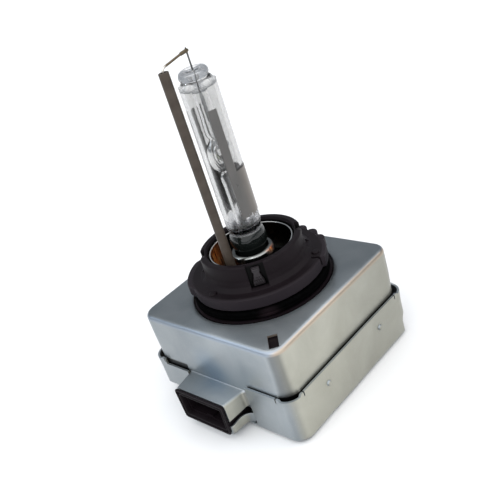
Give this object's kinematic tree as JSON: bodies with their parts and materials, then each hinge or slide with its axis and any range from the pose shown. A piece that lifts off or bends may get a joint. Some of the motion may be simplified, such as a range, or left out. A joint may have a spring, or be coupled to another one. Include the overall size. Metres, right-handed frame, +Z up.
{
  "type": "headlight bulb",
  "caption": "Gas-discharge headlight bulb: quartz burner and ceramic return tube on a black keyed base over a square pressed-steel igniter can with a side connector socket.",
  "frame": {"origin": "underside of the lower tray, below the burner's axis", "axes": "+Z up along the burner; -Y towards the connector's mouth; +X to the right when looking along +Y into the mouth"},
  "size_m": [0.0466, 0.0511, 0.0812],
  "materials": {
    "can_steel": "tin-plated pressed sheet, satin with faint drawing marks",
    "black_plastic": "fine-grained black moulding",
    "seal_rubber": "smooth black silicone",
    "liner_steel": "bright drawn stainless sheet",
    "outer_quartz": "clear flame-worked quartz",
    "inner_quartz": "clear quartz with a faint salt film in the chamber",
    "tungsten": "dull grey drawn rod",
    "molybdenum": "thin grey foil",
    "nickel_wire": "drawn wire, lightly heat-tinted",
    "brown_ceramic": "unglazed brown tube, satin",
    "insulating_paper": "thin pressed board",
    "board_laminate": "green lacquered laminate",
    "contact_brass": "tinned at the tips",
    "ferrite": "matt dark grey sintered rod",
    "cream_plastic": "natural moulding",
    "copper_winding": "enamelled copper wire",
    "spark_gap_ceramic": "white ceramic with metal ends",
    "capacitor_film": "resin-coated film capacitor",
    "resistor_lacquer": "lacquered body"
  },
  "bodies": {
    "root": {"upper_shell": "can_steel", "lower_tray": "can_steel", "connector_body": "black_plastic", "base_flange": "black_plastic", "sealing_ring": "seal_rubber", "collar_liner": "liner_steel", "burner_holder": "liner_steel", "burner_clamp_ring": "liner_steel", "outer_bulb": "outer_quartz", "arc_tube": "inner_quartz", "upper_electrode": "tungsten", "lower_electrode": "tungsten", "upper_foil": "molybdenum", "lower_foil": "molybdenum", "upper_lead": "nickel_wire", "lower_lead": "nickel_wire", "weld_crimp": "nickel_wire", "return_wire": "nickel_wire", "ceramic_tube": "brown_ceramic", "igniter_frame": "black_plastic", "insulating_sheet": "insulating_paper", "circuit_board": "board_laminate", "high_voltage_contact": "contact_brass", "ground_contact": "contact_brass", "ferrite_core": "ferrite", "coil_bobbin": "cream_plastic", "primary_winding": "copper_winding", "spark_gap": "spark_gap_ceramic", "capacitor": "capacitor_film", "bleed_resistor": "resistor_lacquer", "terminal_pin_1": "contact_brass", "collar_tab_1": "black_plastic", "terminal_pin_2": "contact_brass", "collar_tab_2": "black_plastic", "terminal_pin_3": "contact_brass", "collar_tab_3": "black_plastic", "terminal_pin_4": "contact_brass", "collar_tab_4": "black_plastic", "secondary_winding_1": "copper_winding", "secondary_winding_2": "copper_winding", "secondary_winding_3": "copper_winding"}
  },
  "joints": []
}
